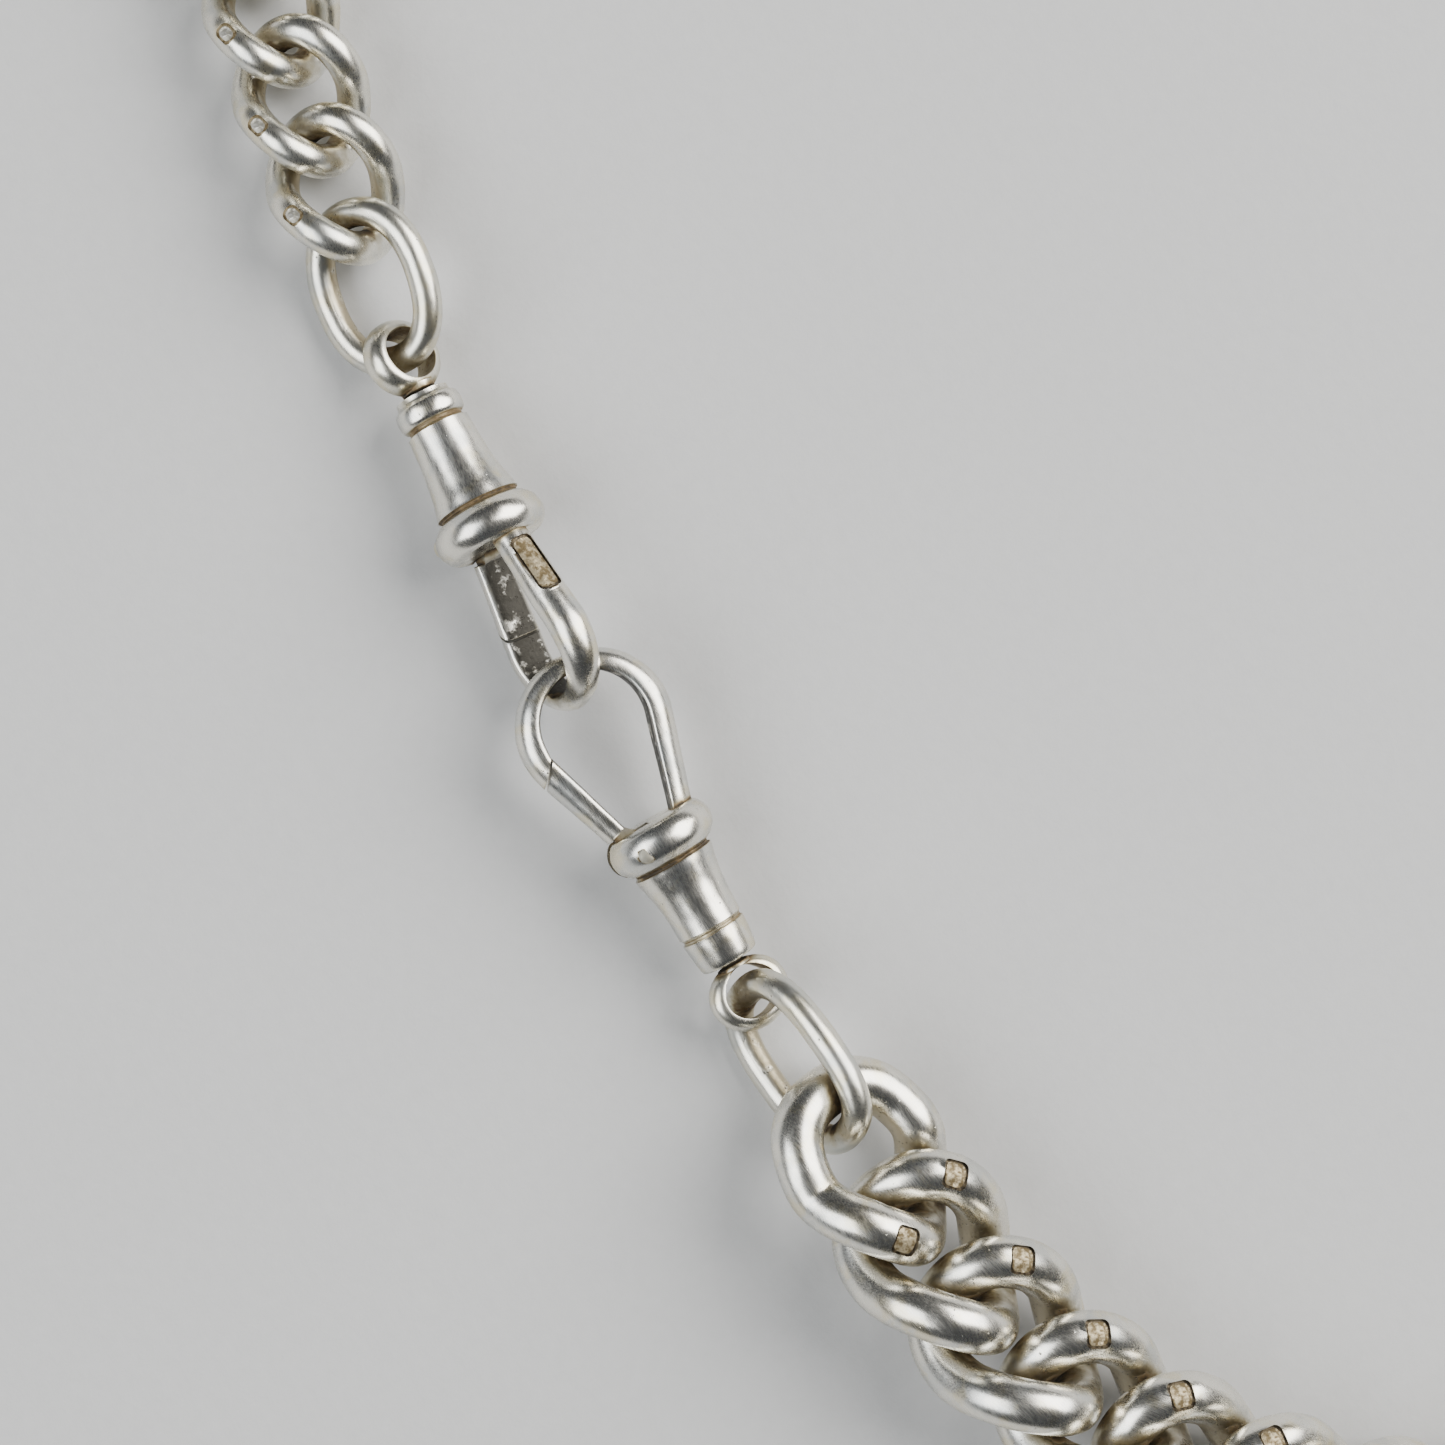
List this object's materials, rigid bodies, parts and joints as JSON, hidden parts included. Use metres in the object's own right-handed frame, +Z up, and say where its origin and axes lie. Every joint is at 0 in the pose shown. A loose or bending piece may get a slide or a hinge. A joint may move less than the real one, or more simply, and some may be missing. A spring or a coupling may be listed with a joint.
{
  "type": "pocket watch chain",
  "caption": "Curb-link pocket watch chain: a light and a heavy length joined by two swivel dog clips hooked together, with a T-bar at one end and a plain ring at the other.",
  "frame": {"origin": "centre of the strand's footprint, on the surface it lies on", "axes": "+Z up from the surface; +X from the light chain towards the heavy one, across the open U; +Y from the hooked clips towards the open side of the U"},
  "size_m": [0.207, 0.0798, 0.011],
  "materials": {
    "light_link_silver": "satin, worn and tarnished silver",
    "heavy_link_silver": "satin, worn and tarnished silver",
    "ring_silver": "satin, pitted silver",
    "clip_silver": "soft polish, worn silver",
    "pin_silver": "dull silver",
    "spring_steel": "oiled spring steel"
  },
  "bodies": {
    "lower_clip": {"lower_clip_barrel": "clip_silver", "lower_clip_hook": "clip_silver", "lower_clip_gate_pin": "pin_silver", "lower_clip_gate_spring": "spring_steel"},
    "lower_gate": {"lower_clip_gate": "clip_silver"},
    "lower_swivel": {"lower_clip_swivel_ring": "ring_silver"},
    "heavy_oval": {"heavy_oval_link": "ring_silver"},
    "heavy_link_01": {"heavy_link_01": "heavy_link_silver"},
    "heavy_link_02": {"heavy_link_02": "heavy_link_silver"},
    "heavy_link_03": {"heavy_link_03": "heavy_link_silver"},
    "heavy_link_04": {"heavy_link_04": "heavy_link_silver"},
    "heavy_link_05": {"heavy_link_05": "heavy_link_silver"},
    "heavy_link_06": {"heavy_link_06": "heavy_link_silver"},
    "heavy_link_07": {"heavy_link_07": "heavy_link_silver"},
    "heavy_link_08": {"heavy_link_08": "heavy_link_silver"},
    "heavy_link_09": {"heavy_link_09": "heavy_link_silver"},
    "heavy_link_10": {"heavy_link_10": "heavy_link_silver"},
    "heavy_link_11": {"heavy_link_11": "heavy_link_silver"},
    "heavy_link_12": {"heavy_link_12": "heavy_link_silver"},
    "jump_ring": {"t_bar_jump_ring": "ring_silver"},
    "bar": {"t_bar": "clip_silver"},
    "upper_clip": {"upper_clip_barrel": "clip_silver", "upper_clip_hook": "clip_silver", "upper_clip_gate_pin": "pin_silver", "upper_clip_gate_spring": "spring_steel"},
    "upper_gate": {"upper_clip_gate": "clip_silver"},
    "upper_swivel": {"upper_clip_swivel_ring": "ring_silver"},
    "light_oval": {"light_oval_link": "ring_silver"},
    "light_link_01": {"light_link_01": "light_link_silver"},
    "light_link_02": {"light_link_02": "light_link_silver"},
    "light_link_03": {"light_link_03": "light_link_silver"},
    "light_link_04": {"light_link_04": "light_link_silver"},
    "light_link_05": {"light_link_05": "light_link_silver"},
    "light_link_06": {"light_link_06": "light_link_silver"},
    "light_link_07": {"light_link_07": "light_link_silver"},
    "light_link_08": {"light_link_08": "light_link_silver"},
    "light_link_09": {"light_link_09": "light_link_silver"},
    "light_link_10": {"light_link_10": "light_link_silver"},
    "light_link_11": {"light_link_11": "light_link_silver"},
    "light_link_12": {"light_link_12": "light_link_silver"},
    "light_link_13": {"light_link_13": "light_link_silver"},
    "light_link_14": {"light_link_14": "light_link_silver"},
    "last_ring": {"end_ring": "ring_silver"}
  },
  "joints": [
    {"name": "lower_gate_pivot", "type": "hinge", "parent": "lower_clip", "child": "lower_gate", "pos_m": [0.00617, -0.03609, 0.00445], "axis": [-0.0698, 0, -0.9976], "range_deg": [0, 22], "stiffness_Nm_per_rad": 0.004, "springref_deg": -20.05, "deforming": ["lower_clip_gate_spring"]},
    {"name": "lower_swivel_spin", "type": "hinge", "parent": "lower_clip", "child": "lower_swivel", "pos_m": [0.01804, -0.03449, 0.00362], "axis": [-0.9976, 0, 0.0698], "continuous": true},
    {"name": "clip_hook_pivot", "type": "hinge", "parent": "lower_clip", "child": "upper_clip", "pos_m": [-0.00291, -0.03449, 0.00509], "axis": [-0.0698, 0, -0.9976], "range_deg": [-18, 18]},
    {"name": "upper_gate_pivot", "type": "hinge", "parent": "upper_clip", "child": "upper_gate", "pos_m": [-0.01818, -0.03429, 0.00282], "axis": [-0.0879, -0.9235, 0.3733], "range_deg": [0, 22], "stiffness_Nm_per_rad": 0.004, "springref_deg": -20.05, "deforming": ["upper_clip_gate_spring"]},
    {"name": "upper_swivel_spin", "type": "hinge", "parent": "upper_clip", "child": "upper_swivel", "pos_m": [-0.03109, -0.0329, 0.00322], "axis": [0.9946, -0.0608, 0.0837], "continuous": true},
    {"name": "heavy_oval_swing", "type": "hinge", "parent": "lower_swivel", "child": "heavy_oval", "pos_m": [0.0191, -0.03449, 0.00355], "axis": [-0.0698, 0.9976, 0], "range_deg": [-8, 25]},
    {"name": "heavy_link_01_turn", "type": "hinge", "parent": "heavy_oval", "child": "heavy_link_01", "pos_m": [0.0283, -0.03385, 0.00577], "axis": [0, 0, 1], "range_deg": [-5, 18]},
    {"name": "heavy_link_02_lift", "type": "hinge", "parent": "heavy_link_01", "child": "heavy_link_02", "pos_m": [0.03602, -0.03331, 0.00581], "axis": [0.1478, -0.989, 0], "range_deg": [-12, 12]},
    {"name": "heavy_link_03_turn", "type": "hinge", "parent": "heavy_link_02", "child": "heavy_link_03", "pos_m": [0.04367, -0.03216, 0.00581], "axis": [0, 0, -1], "range_deg": [-9, 20]},
    {"name": "heavy_link_04_lift", "type": "hinge", "parent": "heavy_link_03", "child": "heavy_link_04", "pos_m": [0.05113, -0.0301, 0.00572], "axis": [-0.3987, 0.9171, 0], "range_deg": [-12, 12]},
    {"name": "heavy_link_05_turn", "type": "hinge", "parent": "heavy_link_04", "child": "heavy_link_05", "pos_m": [0.05823, -0.02701, 0.00572], "axis": [0, 0, 1], "range_deg": [-20, 9]},
    {"name": "heavy_link_06_lift", "type": "hinge", "parent": "heavy_link_05", "child": "heavy_link_06", "pos_m": [0.06468, -0.02274, 0.00572], "axis": [0.6884, -0.7254, 0], "range_deg": [-12, 12]},
    {"name": "heavy_link_07_turn", "type": "hinge", "parent": "heavy_link_06", "child": "heavy_link_07", "pos_m": [0.0703, -0.01741, 0.00572], "axis": [0, 0, -1], "range_deg": [-9, 20]},
    {"name": "heavy_link_08_lift", "type": "hinge", "parent": "heavy_link_07", "child": "heavy_link_08", "pos_m": [0.07501, -0.01127, 0.00572], "axis": [-0.8746, 0.4848, 0], "range_deg": [-12, 12]},
    {"name": "heavy_link_09_turn", "type": "hinge", "parent": "heavy_link_08", "child": "heavy_link_09", "pos_m": [0.07876, -0.0045, 0.00555], "axis": [0, 0, 1], "range_deg": [-20, 9]},
    {"name": "heavy_link_10_lift", "type": "hinge", "parent": "heavy_link_09", "child": "heavy_link_10", "pos_m": [0.08147, 0.00275, 0.00537], "axis": [0.9763, -0.2164, 0], "range_deg": [-12, 12]},
    {"name": "heavy_link_11_turn", "type": "hinge", "parent": "heavy_link_10", "child": "heavy_link_11", "pos_m": [0.08314, 0.0103, 0.00517], "axis": [0, 0, -1], "range_deg": [-9, 20]},
    {"name": "heavy_link_12_lift", "type": "hinge", "parent": "heavy_link_11", "child": "heavy_link_12", "pos_m": [0.08402, 0.01799, 0.00503], "axis": [-0.999, 0.0436, 0], "range_deg": [-12, 12]},
    {"name": "jump_ring_swing", "type": "hinge", "parent": "heavy_link_12", "child": "jump_ring", "pos_m": [0.08436, 0.02572, 0.00498], "axis": [1, -0.0087, 0], "range_deg": [-12, 25]},
    {"name": "t_bar_turn", "type": "hinge", "parent": "jump_ring", "child": "bar", "pos_m": [0.08441, 0.03143, 0.00348], "axis": [0, 0, 1], "range_deg": [-22, 18]},
    {"name": "light_oval_swing", "type": "hinge", "parent": "upper_swivel", "child": "light_oval", "pos_m": [-0.0323, -0.03283, 0.00312], "axis": [-0.1822, -0.9833, 0], "range_deg": [-13, 20]},
    {"name": "light_link_01_turn", "type": "hinge", "parent": "light_oval", "child": "light_link_01", "pos_m": [-0.04023, -0.03136, 0.00387], "axis": [0, 0, 1], "range_deg": [-14, 12]},
    {"name": "light_link_02_lift", "type": "hinge", "parent": "light_link_01", "child": "light_link_02", "pos_m": [-0.04665, -0.0304, 0.00361], "axis": [0.1908, 0.9816, 0], "range_deg": [-16, 16]},
    {"name": "light_link_03_turn", "type": "hinge", "parent": "light_link_02", "child": "light_link_03", "pos_m": [-0.05303, -0.02916, 0.00361], "axis": [0, 0, -1], "range_deg": [-20, 14]},
    {"name": "light_link_04_lift", "type": "hinge", "parent": "light_link_03", "child": "light_link_04", "pos_m": [-0.05938, -0.02775, 0.00361], "axis": [-0.284, -0.9588, 0], "range_deg": [-16, 16]},
    {"name": "light_link_05_turn", "type": "hinge", "parent": "light_link_04", "child": "light_link_05", "pos_m": [-0.06561, -0.0259, 0.00361], "axis": [0, 0, 1], "range_deg": [-14, 20]},
    {"name": "light_link_06_lift", "type": "hinge", "parent": "light_link_05", "child": "light_link_06", "pos_m": [-0.07161, -0.02342, 0.00361], "axis": [0.4924, 0.8704, 0], "range_deg": [-16, 16]},
    {"name": "light_link_07_turn", "type": "hinge", "parent": "light_link_06", "child": "light_link_07", "pos_m": [-0.07727, -0.02022, 0.00361], "axis": [0, 0, -1], "range_deg": [-20, 14]},
    {"name": "light_link_08_lift", "type": "hinge", "parent": "light_link_07", "child": "light_link_08", "pos_m": [-0.08243, -0.01626, 0.00361], "axis": [-0.7133, -0.7009, 0], "range_deg": [-16, 16]},
    {"name": "light_link_09_turn", "type": "hinge", "parent": "light_link_08", "child": "light_link_09", "pos_m": [-0.08698, -0.01162, 0.00361], "axis": [0, 0, 1], "range_deg": [-14, 20]},
    {"name": "light_link_10_lift", "type": "hinge", "parent": "light_link_09", "child": "light_link_10", "pos_m": [-0.09085, -0.0064, 0.00361], "axis": [0.8788, 0.4772, 0], "range_deg": [-16, 16]},
    {"name": "light_link_11_turn", "type": "hinge", "parent": "light_link_10", "child": "light_link_11", "pos_m": [-0.09395, -0.00069, 0.00361], "axis": [0, 0, -1], "range_deg": [-20, 14]},
    {"name": "light_link_12_lift", "type": "hinge", "parent": "light_link_11", "child": "light_link_12", "pos_m": [-0.09623, 0.0054, 0.00361], "axis": [-0.9724, -0.2334, 0], "range_deg": [-16, 16]},
    {"name": "light_link_13_turn", "type": "hinge", "parent": "light_link_12", "child": "light_link_13", "pos_m": [-0.09775, 0.01172, 0.00361], "axis": [0, 0, 1], "range_deg": [-14, 20]},
    {"name": "light_link_14_lift", "type": "hinge", "parent": "light_link_13", "child": "light_link_14", "pos_m": [-0.09859, 0.01817, 0.00361], "axis": [0.9981, 0.061, 0], "range_deg": [-16, 16]},
    {"name": "end_ring_turn", "type": "hinge", "parent": "light_link_14", "child": "last_ring", "pos_m": [-0.09899, 0.02465, 0.00361], "axis": [0, 0, -1], "range_deg": [-11, 11]}
  ]
}
